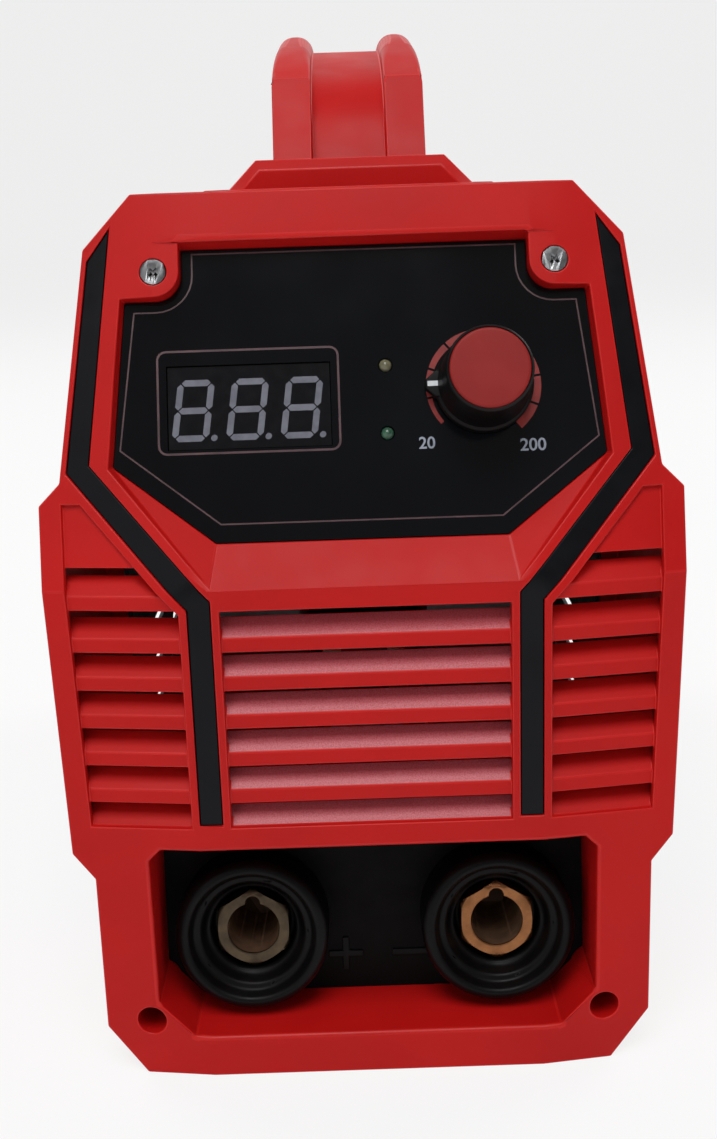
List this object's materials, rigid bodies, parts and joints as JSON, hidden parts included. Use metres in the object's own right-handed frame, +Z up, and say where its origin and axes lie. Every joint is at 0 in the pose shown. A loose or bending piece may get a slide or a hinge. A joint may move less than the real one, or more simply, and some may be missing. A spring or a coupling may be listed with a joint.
{
  "type": "stick welding inverter",
  "caption": "Portable stick welding inverter with a sloped control panel, current knob, louvred red front, recessed brass output sockets, carrying handle and a fan-cooled rear.",
  "frame": {"origin": "on the floor, under the middle of the footprint", "axes": "+X to the right seen from the front, +Y from the front to the back, +Z up"},
  "size_m": [0.15, 0.3003, 0.2567],
  "materials": {
    "red_plastic": "satin moulded red",
    "black_plastic": "fine-textured black",
    "panel_film": "glossy black",
    "display_plastic": "dark tinted",
    "fault_lens": "cloudy lens",
    "power_lens": "cloudy green lens",
    "board": "laminate",
    "steel": "zinc plated",
    "brass": "machined",
    "copper": "copper colour",
    "tray_steel": "powder coated charcoal",
    "cover_paint": "powder coated charcoal",
    "rocker_plastic": "moulded red",
    "sink_aluminium": "extruded",
    "can_aluminium": "sleeved",
    "ferrite": "dark sintered"
  },
  "bodies": {
    "chassis": {"front_bezel": "red_plastic", "left_trim_strip": "black_plastic", "right_trim_strip": "black_plastic", "control_panel": "panel_film", "display_module": "display_plastic", "control_board": "board", "panel_screws": "steel", "board_nuts": "steel", "fault_lamp": "fault_lens", "power_lamp": "power_lens", "current_control_can": "steel", "current_control_nut": "steel", "socket_plate": "black_plastic", "socket_plate_screws": "steel", "positive_socket_flange": "black_plastic", "negative_socket_flange": "black_plastic", "positive_socket_insert": "brass", "negative_socket_insert": "brass", "socket_nuts": "brass", "stud_nuts": "steel", "positive_busbar": "copper", "negative_busbar": "copper", "base_tray": "tray_steel", "cover": "cover_paint", "cover_screws": "steel", "handle": "red_plastic", "handle_screws": "steel", "front_foot_screws": "steel", "rear_foot_screws": "steel", "rear_bezel": "red_plastic", "fan_frame": "black_plastic", "fan_screws": "steel", "inlet_plate": "black_plastic", "inlet_plate_screws": "steel", "switch_body": "black_plastic", "gland_body": "black_plastic", "gland_dome_nut": "black_plastic", "gland_locknut": "black_plastic", "earth_stud": "brass", "earth_nuts": "brass", "main_board": "board", "board_standoffs": "steel", "left_heat_sink": "sink_aluminium", "right_heat_sink": "sink_aluminium", "transistors": "black_plastic", "output_diodes": "black_plastic", "reservoir_capacitors": "can_aluminium", "transformer_core": "ferrite", "transformer_winding": "copper"},
    "knob": {"current_control_shaft": "steel", "knob_body": "black_plastic", "knob_cap": "red_plastic"},
    "fan": {"fan_rotor": "black_plastic"},
    "rocker": {"switch_rocker": "rocker_plastic"}
  },
  "joints": [
    {"name": "current_knob_turn", "type": "hinge", "parent": "chassis", "child": "knob", "pos_m": [0.0294, -0.1294, 0.16751], "axis": [0, 0.9403, -0.3404], "range_deg": [-50, 230]},
    {"name": "fan_spin", "type": "hinge", "parent": "chassis", "child": "fan", "pos_m": [0, 0.135, 0.1138], "axis": [0, 1, 0], "continuous": true},
    {"name": "mains_rocker_tilt", "type": "hinge", "parent": "chassis", "child": "rocker", "pos_m": [-0.028, 0.121, 0.036], "axis": [1, 0, 0], "range_deg": [0, 18]}
  ]
}
